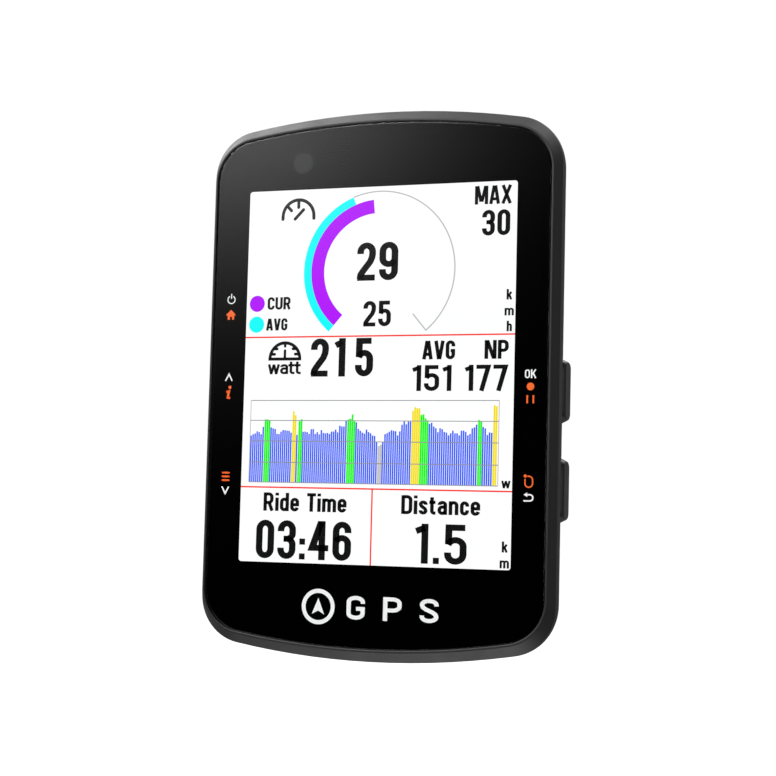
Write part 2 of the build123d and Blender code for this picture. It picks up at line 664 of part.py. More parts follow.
# ---- Screws ----
def screw(head_r, head_h, shank_r, shank_h, socket_r):
    """Adds a pan-head screw with a six-lobed socket; heights run forwards from its underside."""
    with BuildSketch(Plane.XZ.offset(head_h[0])) as head:
        Circle(head_r)
    extrude(head.sketch, amount=length(head_h))
    with BuildSketch(Plane.XZ.offset(shank_h[0])) as shank:
        Circle(shank_r)
    extrude(shank.sketch, amount=length(shank_h))
    with BuildSketch(Plane.XZ.offset(head_h[0])) as socket:
        Circle(socket_r * 0.72)
        with PolarLocations(socket_r * 0.72, 6):
            Circle(socket_r * 0.28)
    extrude(socket.sketch, amount=length(head_h) * 0.6, mode=Mode.SUBTRACT)


def make_screws(name, places, head_r, head_h, shank_r, shank_h, socket_r):
    """Writes one node that holds a screw at each (x, z) place."""
    with BuildPart() as pattern:
        screw(head_r, head_h, shank_r, shank_h, socket_r)
    with BuildPart() as screws:
        with Locations(*[(x, 0, z) for x, z in places]):
            add(pattern.part)
    save(screws, name)


def make_fixings():
    reach = INSERT_SCREW_R * 0.5**0.5
    insert_places = [(reach * x, reach * z) for x in (-1, 1) for z in (-1, 1)]
    make_screws("case_screws", CASE_SCREWS, 1.9, (5.7, 7.2), 0.97, (7.1, 13.6), 1.1)
    head_h = (DISH_DEPTH + 0.05, DISH_DEPTH + 1.1)
    make_screws("insert_screws", insert_places, 1.8, head_h, 0.78, (2.2, 6.8), 1.0)
    make_screws("frame_screws", FRAME_SCREWS, 1.4, (13.4, TRAY_H[0]), 0.5, (14.2, 17.3), 0.8)
    make_screws("board_screws", BOARD_SCREWS, 1.2, (11.2, BOARD_H[0]), 0.6, (11.8, 14.2), 0.7)


make_glass()
make_adhesive()
make_bezel()
make_display()
make_tray()
make_board()
make_components()
make_port()
make_battery()
make_keys()
outer_body = make_outer_body()
make_shell(outer_body, make_cavity())
make_usb_cover(outer_body)
make_shell_fittings()
make_insert()
make_fixings()
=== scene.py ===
import math
import random

import bmesh
import bpy
from mathutils import Matrix, Vector


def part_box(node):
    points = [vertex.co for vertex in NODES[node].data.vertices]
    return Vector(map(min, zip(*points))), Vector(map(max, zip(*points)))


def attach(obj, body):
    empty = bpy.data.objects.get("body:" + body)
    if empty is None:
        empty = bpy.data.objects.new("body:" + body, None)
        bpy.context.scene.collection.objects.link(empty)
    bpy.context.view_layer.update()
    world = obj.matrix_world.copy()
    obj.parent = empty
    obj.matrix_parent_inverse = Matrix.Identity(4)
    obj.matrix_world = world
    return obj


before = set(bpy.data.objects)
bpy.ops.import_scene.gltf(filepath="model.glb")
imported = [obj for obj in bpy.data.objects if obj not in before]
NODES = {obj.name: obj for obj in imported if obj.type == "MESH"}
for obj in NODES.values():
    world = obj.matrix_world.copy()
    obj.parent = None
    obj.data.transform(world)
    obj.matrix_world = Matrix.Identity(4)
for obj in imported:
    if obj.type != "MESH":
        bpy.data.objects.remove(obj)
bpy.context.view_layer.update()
MM = 0.001

# The display's visible area, seen from the front. The front of the object faces -Y.
SCREEN_WIDTH = 43.2 * MM
SCREEN_HEIGHT = 57.6 * MM
SCREEN_TOP = (1.33 + 28.8) * MM
DISPLAY_FRONT = -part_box("lcd_panel")[0].y
PRINT_BACK = -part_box("ink_mask")[0].y
GLASS_BACK = -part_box("cover_glass")[1].y

# Camera: the angles of the sight line, measured at the object.
AZIMUTH = math.radians(18.927)
ELEVATION = math.radians(-4.679)
ROLL = math.radians(1.461)
CAMERA_FROM_AIM = Vector((81.43, -231.13, -22.15)) * MM
LENS = 75.57
SENSOR = 36.0


def make_camera():
    """The camera at the reference viewing angle."""
    data = bpy.data.cameras.new("camera")
    data.lens = LENS
    data.sensor_width = SENSOR
    data.clip_start = 10 * MM
    camera = bpy.data.objects.new("camera", data)
    bpy.context.scene.collection.objects.link(camera)
    back = Vector((
        math.sin(AZIMUTH) * math.cos(ELEVATION),
        -math.cos(AZIMUTH) * math.cos(ELEVATION),
        math.sin(ELEVATION),
    ))
    across = Vector((math.cos(AZIMUTH), math.sin(AZIMUTH), 0))
    up = back.cross(across)
    right = across * math.cos(ROLL) + up * math.sin(ROLL)
    top = back.cross(right)
    turn = Matrix((right, top, back)).transposed()
    aim = Vector((0, -GLASS_BACK - 0.3 * MM, SCREEN_TOP - SCREEN_HEIGHT / 2))
    camera.matrix_world = Matrix.Translation(aim + CAMERA_FROM_AIM) @ turn.to_4x4()
    bpy.context.scene.camera = camera


# ---------------------------------------------------------------- materials


def rgb(red, green, blue):
    """A linear colour from the usual 0 to 255 values."""
    parts = []
    for value in (red, green, blue):
        share = value / 255
        parts.append(share / 12.92 if share <= 0.04045 else ((share + 0.055) / 1.055) ** 2.4)
    return (*parts, 1.0)


class Finish:
    """A procedural material: one Principled shader and the nodes that feed it."""

    def __init__(self, name, roughness=0.5, metallic=0.0, **settings):
        self.material = bpy.data.materials.new(name)
        self.material.use_nodes = True
        self.tree = self.material.node_tree
        self.tree.nodes.clear()
        self.output = self.tree.nodes.new("ShaderNodeOutputMaterial")
        self.shader = self.tree.nodes.new("ShaderNodeBsdfPrincipled")
        self.tree.links.new(self.shader.outputs[0], self.output.inputs["Surface"])
        self.shader.inputs["Roughness"].default_value = roughness
        self.shader.inputs["Metallic"].default_value = metallic
        for socket, value in settings.items():
            self.shader.inputs[socket.replace("_", " ")].default_value = value
        self.place = self.tree.nodes.new("ShaderNodeTexCoord").outputs["Object"]
        self.height = None

    def node(self, kind, inputs=None, **settings):
        """A new node, with values or links for its inputs."""
        made = self.tree.nodes.new(kind)
        for key, value in settings.items():
            setattr(made, key, value)
        for key, value in (inputs or {}).items():
            if isinstance(value, bpy.types.NodeSocket):
                self.tree.links.new(value, made.inputs[key])
            else:
                made.inputs[key].default_value = value
        return made

    def math(self, operation, first, second=0.0):
        return self.node("ShaderNodeMath", {0: first, 1: second}, operation=operation).outputs[0]

    def axis(self, letter):
        return self.node("ShaderNodeSeparateXYZ", {0: self.place}).outputs[letter]

    def noise(self, scale, detail=2.0, stretch=None):
        """Soft noise with about scale blobs to the metre."""
        where = self.place
        if stretch:
            where = self.node("ShaderNodeMapping", {"Vector": where, "Scale": stretch}).outputs[0]
        made = self.node("ShaderNodeTexNoise", {"Vector": where, "Scale": scale, "Detail": detail})
        return made.outputs["Fac"]

    def cells(self, scale):
        """Round cells, with about scale of them to the metre: the distance from each one's middle."""
        return self.node("ShaderNodeTexVoronoi", {"Vector": self.place, "Scale": scale}).outputs["Distance"]

    def spread(self, fac, low, high, start=0.3, end=0.7):
        """fac from start to end, spread over low to high."""
        ends = {"From Min": start, "From Max": end, "To Min": low, "To Max": high}
        return self.node("ShaderNodeMapRange", {"Value": fac, **ends}).outputs[0]

    def mix(self, fac, first, second):
        made = self.node("ShaderNodeMix", {0: fac, 6: first, 7: second}, data_type="RGBA")
        return made.outputs[2]

    def feed(self, socket, value):
        self.tree.links.new(value, self.shader.inputs[socket])

    def colour(self, fac, first, second):
        self.feed("Base Color", self.mix(fac, first, second))

    def bump(self, height, distance, strength=1.0):
        """Adds relief on top of what is there already."""
        values = {"Height": height, "Distance": distance, "Strength": strength}
        if self.height is not None:
            values["Normal"] = self.height
        self.height = self.node("ShaderNodeBump", values).outputs[0]
        self.feed("Normal", self.height)


def moulded(name, dark, light, roughness, grain, depth, **settings):
    """A moulded plastic or rubber: spark-eroded grain, faint flow marks and uneven gloss."""
    made = Finish(name, roughness, **settings)
    flow = made.noise(90, 3)
    fine = made.noise(grain, 2)
    both = made.math("ADD", made.math("MULTIPLY", flow, 0.7), made.math("MULTIPLY", fine, 0.3))
    made.colour(made.spread(both, 0, 1, 0.35, 0.65), dark, light)
    made.feed("Roughness", made.spread(made.noise(260, 3), roughness - 0.05, roughness + 0.06))
    made.bump(fine, depth)
    made.bump(made.cells(grain * 0.45), depth * 0.6, 0.5)
    return made.material


def brushed(name, dark, light, roughness, stretch):
    """Worked metal: fine parallel scratches and slow colour drift."""
    made = Finish(name, roughness, metallic=1.0)
    lines = made.noise(1400, 3, stretch)
    both = made.math("ADD", made.math("MULTIPLY", lines, 0.5), made.math("MULTIPLY", made.noise(300), 0.5))
    made.colour(made.spread(both, 0, 1), dark, light)
    made.feed("Roughness", made.spread(lines, roughness - 0.08, roughness + 0.1))
    made.bump(lines, 0.004 * MM, 0.6)
    return made.material


def glass_material():
    """Cover glass: clear, with a mirror on the outer face that follows Fresnel."""
    made = Finish("cover_glass")
    made.tree.nodes.remove(made.shader)
    clear = made.node("ShaderNodeBsdfTransparent", {"Color": (0.985, 0.99, 0.988, 1)})
    haze = made.spread(made.noise(420, 4), 0.012, 0.035)
    mirror = made.node("ShaderNodeBsdfAnisotropic", {"Color": (1, 1, 1, 1), "Roughness": haze})
    fresnel = made.node("ShaderNodeFresnel", {"IOR": 1.5}).outputs[0]
    outside = made.math("SUBTRACT", 1.0, made.node("ShaderNodeNewGeometry").outputs["Backfacing"])
    share = made.math("MULTIPLY", fresnel, outside)
    mixed = made.node("ShaderNodeMixShader", {0: share, 1: clear.outputs[0], 2: mirror.outputs[0]})
    made.tree.links.new(mixed.outputs[0], made.output.inputs["Surface"])
    return made.material


def board_material():
    """Solder mask over copper tracks, with plated pads."""
    made = Finish("board", 0.35)
    upright = made.node("ShaderNodeMapping", {"Vector": made.place, "Rotation": (math.pi / 2, 0, 0)})
    tracks = made.node("ShaderNodeTexBrick", {
        "Vector": upright.outputs[0],
        "Scale": 420.0,
        "Mortar Size": 0.018,
        "Color1": (0, 0, 0, 1),
        "Color2": (0.3, 0.3, 0.3, 1),
        "Mortar": (1, 1, 1, 1),
    }).outputs["Color"]
    made.colour(made.math("MULTIPLY", tracks, 0.6), (0.006, 0.06, 0.024, 1), (0.03, 0.16, 0.06, 1))
    made.bump(tracks, 0.02 * MM, 0.5)
    return made.material


def foil_material():
    """The battery's wrinkled pouch foil."""
    made = Finish("battery_foil", 0.32, metallic=1.0)
    creases = made.noise(140, 5)
    made.colour(made.spread(creases, 0, 1), (0.52, 0.53, 0.55, 1), (0.74, 0.75, 0.77, 1))
    made.feed("Roughness", made.spread(made.noise(600), 0.25, 0.42))
    made.bump(creases, 0.12 * MM, 0.6)
    return made.material


def light_paper(name, low, high):
    """A diffuse sheet with the faint mottle of its dots."""
    made = Finish(name, 0.6)
    mottle = made.spread(made.cells(2600), 0, 1, 0.1, 0.6)
    made.colour(mottle, low, high)
    made.bump(mottle, 0.01 * MM, 0.4)
    return made.material


def screen_colour(name, colour, strength=1.0):
    """One colour of the lit display: its picture cells and a slow unevenness of the backlight."""
    made = Finish(name, 0.6)
    made.shader.inputs["Base Color"].default_value = (0.01, 0.01, 0.01, 1)
    made.shader.inputs["Specular IOR Level"].default_value = 0.0
    made.shader.inputs["Emission Strength"].default_value = strength
    cell = 0.09 * MM
    dark = tuple(0.93 * part for part in colour[:3]) + (1.0,)
    columns = made.math("PINGPONG", made.axis("X"), cell)
    rows = made.math("PINGPONG", made.axis("Z"), cell)
    edge = made.spread(made.math("MINIMUM", columns, rows), 1, 0, 0, 0.02 * MM)
    uneven = made.spread(made.noise(60), 0, 0.5)
    made.feed("Emission Color", made.mix(made.math("MAXIMUM", edge, uneven), colour, dark))
    return made.material


def ink_with_painted_glow(name, colour, glow, shine=0.5):
    """Screen-printed ink behind glass: a little uneven, as the mesh leaves it. It also emits its own colour
    at strength glow, a painted glow, though the print is no lamp.
    """
    made = Finish(name, 0.55)
    worn = tuple(0.9 * part for part in colour[:3]) + (1.0,)
    mixed = made.mix(made.spread(made.noise(3000, 3), 0, 1), colour, worn)
    made.feed("Base Color", mixed)
    # Painted glow: the ink's colour is emitted as well, so the print shows bright as if strongly lit.
    made.feed("Emission Color", mixed)
    made.shader.inputs["Emission Strength"].default_value = glow
    made.shader.inputs["Specular IOR Level"].default_value = shine
    made.bump(made.noise(5000), 0.002 * MM, 0.4)
    return made.material


def build_materials():
    """Every finish, by the record's slot name."""
    return {
        "cover_glass": glass_material(),
        "mask_print": moulded("mask_print", (0.0002, 0.0002, 0.0002, 1), (0.0004, 0.0004, 0.0004, 1),
                              0.6, 3000, 0.001 * MM, Specular_IOR_Level=0.0),
        "adhesive": moulded("adhesive", (0.006, 0.006, 0.006, 1), (0.02, 0.02, 0.02, 1), 0.7, 900, 0.01 * MM),
        "rim_plastic": moulded("rim_plastic", (0.016, 0.016, 0.017, 1), (0.023, 0.023, 0.024, 1),
                               0.46, 5200, 0.008 * MM),
        "shell_plastic": moulded("shell_plastic", (0.015, 0.015, 0.016, 1), (0.022, 0.022, 0.023, 1),
                                 0.52, 4200, 0.014 * MM),
        "key_plastic": moulded("key_plastic", (0.018, 0.018, 0.019, 1), (0.025, 0.025, 0.026, 1),
                               0.42, 6500, 0.006 * MM),
        "seal_rubber": moulded("seal_rubber", (0.008, 0.008, 0.008, 1), (0.014, 0.014, 0.014, 1),
                               0.68, 3800, 0.01 * MM),
        "cover_rubber": moulded("cover_rubber", (0.012, 0.012, 0.012, 1), (0.019, 0.019, 0.019, 1),
                                0.62, 3600, 0.012 * MM),
        "mount_nylon": moulded("mount_nylon", (0.013, 0.013, 0.014, 1), (0.03, 0.03, 0.031, 1),
                               0.4, 2300, 0.02 * MM),
        "flex_film": moulded("flex_film", (0.42, 0.16, 0.03, 1), (0.56, 0.24, 0.05, 1),
                             0.3, 1600, 0.006 * MM),
        "chip_epoxy": moulded("chip_epoxy", (0.012, 0.012, 0.013, 1), (0.022, 0.022, 0.024, 1),
                              0.5, 5200, 0.008 * MM),
        "connector_plastic": moulded("connector_plastic", (0.5, 0.47, 0.4, 1), (0.62, 0.59, 0.52, 1),
                                     0.45, 2600, 0.008 * MM),
        "antenna_ceramic": moulded("antenna_ceramic", (0.55, 0.5, 0.4, 1), (0.68, 0.63, 0.52, 1),
                                   0.55, 3000, 0.01 * MM),
        "membrane": moulded("membrane", (0.62, 0.62, 0.6, 1), (0.78, 0.78, 0.76, 1), 0.85, 7000, 0.02 * MM),
        "shield_metal": brushed("shield_metal", (0.5, 0.5, 0.49, 1), (0.68, 0.68, 0.66, 1),
                                0.36, (1, 1, 0.08)),
        "tray_metal": brushed("tray_metal", (0.42, 0.43, 0.44, 1), (0.6, 0.61, 0.62, 1), 0.42, (0.08, 1, 1)),
        "screw_steel": brushed("screw_steel", (0.1, 0.1, 0.105, 1), (0.22, 0.22, 0.23, 1), 0.34, (1, 0.1, 1)),
        "board": board_material(),
        "battery_foil": foil_material(),
        "display": light_paper("display", (0.03, 0.034, 0.034, 1), (0.05, 0.054, 0.052, 1)),
        "backlight": light_paper("backlight", (0.7, 0.71, 0.7, 1), (0.82, 0.82, 0.81, 1)),
    }


# Which slot each CAD node takes, by the start of its name. The longest match wins.
SLOT_OF = {
    "cover_glass": "cover_glass", "ink_mask": "mask_print", "glass_adhesive": "adhesive",
    "front_bezel": "rim_plastic", "case_seal": "seal_rubber", "lcd_panel": "display",
    "backlight_unit": "backlight", "display_flex": "flex_film", "light_sensor": "display",
    "sensor_flex": "flex_film", "display_tray": "tray_metal", "main_board": "board",
    "processor": "chip_epoxy", "memory_chip": "chip_epoxy", "power_chip": "chip_epoxy",
    "radio_chip": "chip_epoxy", "motion_sensor": "chip_epoxy", "display_connector": "connector_plastic",
    "gps_antenna": "antenna_ceramic", "buzzer": "chip_epoxy", "pressure_sensor": "shield_metal",
    "battery_connector": "connector_plastic", "shield_can": "shield_metal", "usb_receptacle": "shield_metal",
    "usb_tongue": "chip_epoxy", "battery_cell": "battery_foil", "battery_tape": "adhesive",
    "battery_flex": "flex_film", "key_board": "board", "key_bracket": "tray_metal",
    "switch": "shield_metal", "plunger": "key_plastic", "button": "key_plastic", "key_seals": "seal_rubber",
    "rear_shell": "shell_plastic", "usb_cover": "cover_rubber", "vent_membrane": "membrane",
    "lanyard_bar": "shell_plastic", "mount_insert": "mount_nylon", "case_screws": "screw_steel",
    "insert_screws": "screw_steel", "frame_screws": "screw_steel", "board_screws": "screw_steel",
}


def dress_nodes(finishes):
    """Gives each CAD node its finish."""
    for name, node in NODES.items():
        starts = [start for start in SLOT_OF if name.startswith(start)]
        slot = SLOT_OF[max(starts, key=len)]
        node.data.materials.clear()
        node.data.materials.append(finishes[slot])


# ---------------------------------------------------------------- thin solids


# The picture is drawn a little larger than its own millimetres, from the screen's right edge.
PICTURE_SCALE = 1.006
PICTURE_RISE = 0.05 * MM


def at(across, down):
    """A point of the picture, from millimetres right of its left edge and below its top edge."""
    from_right = (SCREEN_WIDTH - across * MM) * PICTURE_SCALE
    return (SCREEN_WIDTH / 2 - from_right, SCREEN_TOP + PICTURE_RISE - down * PICTURE_SCALE * MM)


def offsets(line, closed):
    """For each point of a line, the sideways vector that keeps a ribbon's width through the corner."""
    sides = []
    count = len(line)
    for i in range(count):
        before = line[i - 1] if closed or i else None
        after = line[(i + 1) % count] if closed or i < count - 1 else None
        ways = []
        if before:
            ways.append(Vector((line[i][0] - before[0], line[i][1] - before[1])).normalized())
        if after:
            ways.append(Vector((after[0] - line[i][0], after[1] - line[i][1])).normalized())
        mean = (ways[0] + ways[-1]).normalized()
        side = Vector((-mean.y, mean.x))
        square = Vector((-ways[0].y, ways[0].x))
        sides.append(side / max(0.35, side.dot(square)))
    return sides


def ribbon(mesh, line, width, low, high, closed=False, contrast=1.0):
    """A closed thin solid along a line in the XZ plane; contrast thickens upright parts over level ones."""
    rings = []
    for (x, z), side in zip(line, offsets(line, closed)):
        reach = Vector((side.x * contrast, side.y / contrast)) * width / 2
        ring = []
        for sign, height in ((1, low), (1, high), (-1, high), (-1, low)):
            ring.append(mesh.verts.new((x + sign * reach.x, -height, z + sign * reach.y)))
        rings.append(ring)
    pairs = list(zip(rings, rings[1:]))
    if closed:
        pairs.append((rings[-1], rings[0]))
    else:
        mesh.faces.new(rings[0])
        mesh.faces.new(rings[-1][::-1])
    for first, second in pairs:
        for i in range(4):
            j = (i + 1) % 4
            mesh.faces.new((first[j], first[i], second[i], second[j]))


def plate(mesh, outline, low, high):
    """A closed thin solid with a convex or gently concave outline in the XZ plane."""
    back = [mesh.verts.new((x, -low, z)) for x, z in outline]
    front = [mesh.verts.new((x, -high, z)) for x, z in outline]
    mesh.faces.new(back)
    mesh.faces.new(front[::-1])
    for i in range(len(outline)):
        j = (i + 1) % len(outline)
        mesh.faces.new((back[j], back[i], front[i], front[j]))


def arc(centre, across, up, start, end, steps=12):
    """Points of an elliptical arc, angles in degrees from the right, counter-clockwise."""
    points = []
    for i in range(steps + 1):
        turn = math.radians(start + (end - start) * i / steps)
        points.append((centre[0] + across * math.cos(turn), centre[1] + up * math.sin(turn)))
    return points


def disc(mesh, centre, radius, low, high, steps=40):
    plate(mesh, arc(centre, radius, radius, 0, 360 - 360 / steps, steps - 1), low, high)


def box_outline(left, right, top, bottom):
    return [at(left, bottom), at(right, bottom), at(right, top), at(left, top)]


def finish_piece(name, mesh, material):
    """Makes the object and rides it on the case."""
    bmesh.ops.recalc_face_normals(mesh, faces=mesh.faces)
    data = bpy.data.meshes.new(name)
    mesh.to_mesh(data)
    mesh.free()
    data.materials.append(material)
    made = bpy.data.objects.new(name, data)
    bpy.context.scene.collection.objects.link(made)
    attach(made, "case")
    return made


# ---------------------------------------------------------------- stroke lettering

# In cap heights: the usual stroke, half the stroke that the glyphs below leave room for,
# and how much thicker upright strokes are than level ones.
STROKE = 0.17
HALF = 0.08
CONTRAST = 1.08


def hook(x, y, start, end, wide=0.17, tall=0.17):
    """An arc of a letter: centre, angles and radii in cap heights."""
    return (x, y, wide, tall, start, end)


STEM = [(0.08, 0), (0.08, 1)]
SMALL_STEM = [(0.08, 0), (0.08, 0.73)]
ROUND = [hook(0.25, 0.75, 0, 180), hook(0.25, 0.25, 180, 360), "close"]
BOWL = [(0.08, 0.92), (0.22, 0.92), hook(0.25, 0.75, 90, 0), hook(0.25, 0.62, 0, -90), (0.08, 0.45)]
# Each glyph: its width in cap heights and the centre lines of its strokes.
GLYPHS = {
    "0": (0.5, [ROUND]),
    "1": (0.3, [[(0.22, 0), (0.22, 1)], [(0.03, 0.81), (0.22, 0.9)]]),
    "2": (0.5, [[(0.08, 0.7), hook(0.25, 0.75, 180, 0), (0.42, 0.69), (0.405, 0.6), (0.355, 0.49),
                 (0.15, 0.24), (0.095, 0.155), (0.08, 0.04)], [(0, 0.08), (0.5, 0.08)]]),
    "3": (0.5, [[(0.08, 0.71), hook(0.25, 0.75, 180, 0), hook(0.25, 0.66, 0, -90, 0.17, 0.14), (0.16, 0.52)],
                [(0.16, 0.52), hook(0.25, 0.38, 90, 0, 0.17, 0.14), hook(0.25, 0.25, 0, -180),
                 (0.08, 0.29)]]),
    "4": (0.55, [[(0.36, 0), (0.36, 1)], [(0.33, 0.98), (0.085, 0.31), (0.55, 0.31)]]),
    "5": (0.5, [[(0.46, 0.92), (0.1, 0.92), (0.095, 0.5)],
                [hook(0.25, 0.45, 165, 0, 0.17, 0.16), hook(0.25, 0.25, 0, -180), (0.08, 0.3)]]),
    "6": (0.5, [[(0.42, 0.71), hook(0.25, 0.75, 0, 180), hook(0.25, 0.25, 180, 360),
                 hook(0.25, 0.43, 0, 160, 0.17, 0.15)]]),
    "7": (0.48, [[(0, 0.92), (0.4, 0.92), (0.18, 0)]]),
    "9": (0.5, [[(0.08, 0.29), hook(0.25, 0.25, 180, 360), hook(0.25, 0.75, 0, 180),
                 hook(0.25, 0.57, 180, 340, 0.17, 0.15)]]),
    ":": (0.16, [[(0, 0.08), (0.16, 0.08)], [(0, 0.46), (0.16, 0.46)]]),
    ".": (0.16, [[(0, 0.08), (0.16, 0.08)]]),
    "A": (0.57, [[(0.08, 0), (0.25, 1)], [(0.32, 1), (0.49, 0)], [(0.16, 0.27), (0.41, 0.27)]]),
    "C": (0.5, [[(0.42, 0.68), hook(0.25, 0.75, 0, 180), hook(0.25, 0.25, 180, 360), (0.42, 0.32)]]),
    "D": (0.52, [STEM, [(0.08, 0.92), (0.24, 0.92), hook(0.27, 0.75, 90, 0), hook(0.27, 0.25, 0, -90),
                        (0.08, 0.08)]]),
    "G": (0.51, [[(0.42, 0.68), hook(0.25, 0.75, 0, 180), hook(0.25, 0.25, 180, 360), (0.42, 0.46),
                  (0.26, 0.46)]]),
    "K": (0.54, [STEM, [(0.46, 1), (0.13, 0.42)], [(0.23, 0.56), (0.46, 0)]]),
    "M": (0.7, [STEM, [(0.62, 0), (0.62, 1)], [(0.13, 1), (0.33, 0.14)], [(0.57, 1), (0.37, 0.14)]]),
    "N": (0.56, [STEM, [(0.48, 0), (0.48, 1)], [(0.12, 0.98), (0.44, 0.02)]]),
    "O": (0.5, [ROUND]),
    "P": (0.5, [STEM, BOWL]),
    "R": (0.53, [STEM, BOWL, [(0.28, 0.47), (0.45, 0)]]),
    "S": (0.5, [[(0.42, 0.7), hook(0.25, 0.75, 0, 180), (0.1, 0.65), (0.17, 0.56), (0.33, 0.44), (0.4, 0.35),
                 hook(0.25, 0.25, 0, -180), (0.08, 0.3)]]),
    "T": (0.46, [[(0, 0.92), (0.46, 0.92)], [(0.23, 0), (0.23, 0.9)]]),
    "U": (0.52, [[(0.08, 1), hook(0.26, 0.26, 180, 360, 0.18, 0.18), (0.44, 1)]]),
    "V": (0.56, [[(0.08, 1), (0.26, 0)], [(0.3, 0), (0.48, 1)]]),
    "X": (0.56, [[(0.08, 1), (0.48, 0)], [(0.48, 1), (0.08, 0)]]),
    "a": (0.45, [[(0.09, 0.52), hook(0.225, 0.53, 170, 0, 0.14, 0.12), (0.37, 0)],
                 [(0.37, 0.42), hook(0.21, 0.245, 90, 270, 0.13, 0.165), (0.27, 0.085), (0.37, 0.16)]]),
    "c": (0.42, [[(0.34, 0.46), hook(0.21, 0.5, 0, 180, 0.13, 0.15), hook(0.21, 0.23, 180, 360, 0.13, 0.15),
                  (0.34, 0.27)]]),
    "d": (0.45, [[(0.37, 0), (0.37, 1)], [hook(0.22, 0.5, 30, 180, 0.14, 0.15),
                                          hook(0.22, 0.23, 180, 330, 0.14, 0.15)]]),
    "e": (0.44, [[(0.08, 0.36), (0.36, 0.36), hook(0.22, 0.5, 0, 180, 0.14, 0.15),
                  hook(0.22, 0.23, 180, 350, 0.14, 0.15)]]),
    "h": (0.45, [STEM, [hook(0.225, 0.51, 165, 0, 0.145, 0.14), (0.37, 0)]]),
    "i": (0.16, [SMALL_STEM, [(0.08, 0.84), (0.08, 1)]]),
    "k": (0.46, [STEM, [(0.38, 0.73), (0.13, 0.3)], [(0.22, 0.43), (0.39, 0)]]),
    "m": (0.7, [SMALL_STEM, [hook(0.215, 0.52, 165, 0, 0.135, 0.13), (0.35, 0)],
                [hook(0.485, 0.52, 165, 0, 0.135, 0.13), (0.62, 0)]]),
    "n": (0.45, [SMALL_STEM, [hook(0.225, 0.51, 165, 0, 0.145, 0.14), (0.37, 0)]]),
    "s": (0.41, [[(0.33, 0.51), hook(0.205, 0.54, 0, 180, 0.125, 0.11), (0.12, 0.44), (0.29, 0.3),
                  hook(0.205, 0.19, 0, -180, 0.125, 0.11), (0.08, 0.22)]]),
    "t": (0.32, [[(0.13, 0.92), (0.13, 0.22), hook(0.25, 0.2, 180, 270, 0.12, 0.12), (0.31, 0.08)],
                 [(0, 0.65), (0.3, 0.65)]]),
    "w": (0.66, [[(0.07, 0.73), (0.2, 0)], [(0.19, 0), (0.33, 0.71)], [(0.33, 0.71), (0.47, 0)],
                 [(0.46, 0), (0.59, 0.73)]]),
    " ": (0.24, []),
}


def glyph_line(path, shift, height):
    """A glyph's centre line as points, with shift mapping its x and height its y."""
    line = []
    for item in path:
        if item == "close":
            continue
        if len(item) == 2:
            line.append((shift(item[0]), item[1] * height))
            continue
        x, y, wide, tall, start, end = item
        for px, py in arc((x, y), wide, tall, start, end, 10):
            line.append((shift(px), py * height))
    kept = [line[0]]
    for point in line[1:]:
        if math.dist(point, kept[-1]) > 0.004 * height:
            kept.append(point)
    return kept


def write(mesh, text, origin, width, height, layer, weight=STROKE, gap=0.11):
    """Letters as thin solids: text fills width from origin, which is at its left on the baseline."""
    natural = sum(GLYPHS[letter][0] for letter in text) + gap * (len(text) - 1)
    squeeze = width / (natural * height)
    thick = weight * height
    left = origin[0]
    for letter in text:
        wide = GLYPHS[letter][0]
        real = wide * squeeze * height
        inner = wide - 2 * HALF
        ratio = (real - thick) / inner if inner > 0.01 else height
        middle = left + real / 2
        for path in GLYPHS[letter][1]:
            closed = path[-1] == "close"
            line = glyph_line(path, lambda x: middle + (x - wide / 2) * ratio, height)
            line = [(x, origin[1] + z) for x, z in line]
            if closed and math.dist(line[0], line[-1]) < 0.02 * height:
                line.pop()
            ribbon(mesh, line, thick, *layer, closed=closed, contrast=CONTRAST)
        left += real + gap * squeeze * height


# ---------------------------------------------------------------- the lit display

LAYER = 0.008 * MM


def layer(number):
    """Back and front height of one layer of the picture."""
    back = DISPLAY_FRONT + 0.002 * MM + number * LAYER
    return back, back + 0.8 * LAYER


def screen_piece(name, material, number, *drawers):
    """One piece of the picture, drawn into a mesh on its layer."""
    mesh = bmesh.new()
    for draw in drawers:
        draw(mesh, layer(number))
    return finish_piece(name, mesh, material)


def texts(*rows, weight=STROKE, gap=0.11):
    """Draws rows of (text, left, right, top, baseline), in millimetres on the display."""
    def draw(mesh, levels):
        for text, left, right, top, base in rows:
            write(mesh, text, at(left, base), (right - left) * MM, (base - top) * MM, levels, weight, gap)
    return draw


def lines(width, *paths):
    """Draws open lines of one width, in millimetres on the display."""
    def draw(mesh, levels):
        for path in paths:
            ribbon(mesh, [at(*point) for point in path], width * MM, *levels)
    return draw


def band(centre, inner, outer, start, end):
    """Draws a ring segment of the gauge."""
    def draw(mesh, levels):
        middle = (inner + outer) / 2 * MM
        path = arc(at(*centre), middle, middle, start, end, 96)
        ribbon(mesh, path, (outer - inner) * MM, *levels)
    return draw


GAUGE = (21.69, 12.87)
GAUGE_RADIUS = 12.15
GAUGE_START = 230.1
GAUGE_END = -50.0


def draw_gauge_ring(mesh, levels):
    """The thin rest of the gauge circle and its end tick."""
    radius = GAUGE_RADIUS * MM
    end = math.radians(GAUGE_END)
    path = arc(at(*GAUGE), radius, radius, 110.7, GAUGE_END, 96)
    centre = at(*GAUGE)
    inner = 8.85 * MM
    path.append((centre[0] + inner * math.cos(end), centre[1] + inner * math.sin(end)))
    ribbon(mesh, path, 0.2 * MM, *levels)


